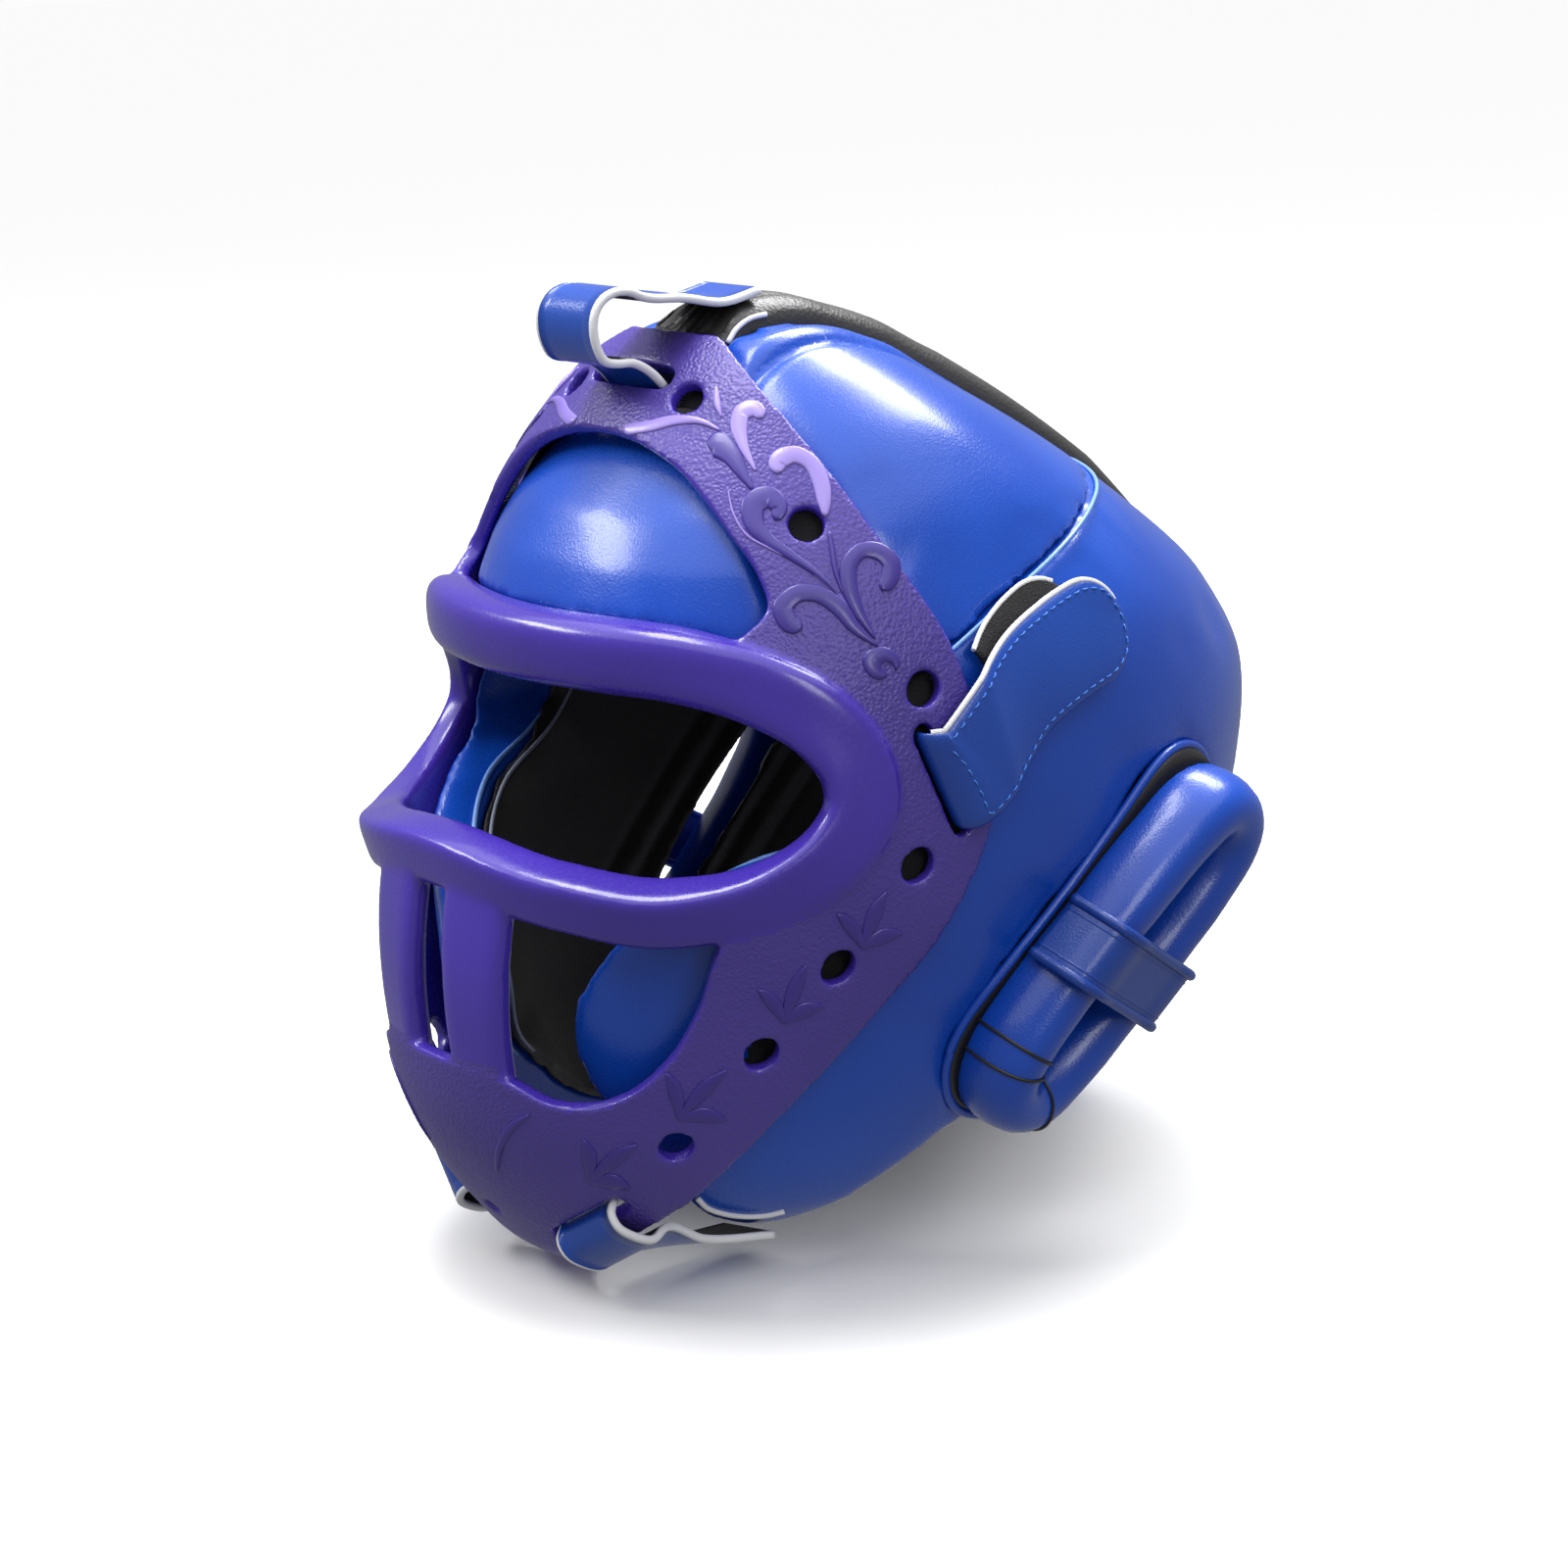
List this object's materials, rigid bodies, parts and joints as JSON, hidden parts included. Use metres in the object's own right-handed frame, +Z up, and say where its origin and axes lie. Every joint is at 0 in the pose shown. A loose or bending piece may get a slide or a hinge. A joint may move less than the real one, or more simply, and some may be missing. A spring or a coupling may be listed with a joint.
{
  "type": "sparring headgear with face shield",
  "caption": "Padded sparring headgear with a moulded face mask, rolled eye lip, chin guard, padded ear rings, crown strip and fixing straps.",
  "frame": {"origin": "centre of the bounding box in plan, on the surface that it stands on", "axes": "+Z up as it rests on chin guard and nape pad; -Y is the way the face looks; +X is the wearer's left"},
  "size_m": [0.2416, 0.2958, 0.2811],
  "materials": {
    "mask_plastic": "moulded purple plastic with a leather grain, raised scroll relief and rounded edges, satin gloss",
    "blue_leather": "glossy blue synthetic leather over foam, fine grain, soft folds along the seams",
    "strap_blue": "blue synthetic leather strap with white edge binding and stitching, black hook field inside",
    "black_lining": "black smooth knit lining over foam",
    "black_leather": "black synthetic leather roll, satin, with soft folds"
  },
  "bodies": {
    "root": {"face_mask": "mask_plastic", "crown_panel_left": "blue_leather", "crown_panel_right": "blue_leather", "side_panel_left": "blue_leather", "side_panel_right": "blue_leather", "back_panel": "blue_leather", "inner_lining": "black_lining", "forehead_pad": "blue_leather", "crown_strip": "black_leather", "ear_ring_left": "blue_leather", "ear_ring_right": "blue_leather", "ear_band_left": "strap_blue", "ear_band_right": "strap_blue", "top_strap": "strap_blue", "side_strap_left": "strap_blue", "side_strap_right": "strap_blue", "side_under_flap_left": "black_lining", "side_under_flap_right": "black_lining", "lower_strap_left": "strap_blue", "lower_strap_right": "strap_blue"}
  },
  "joints": []
}
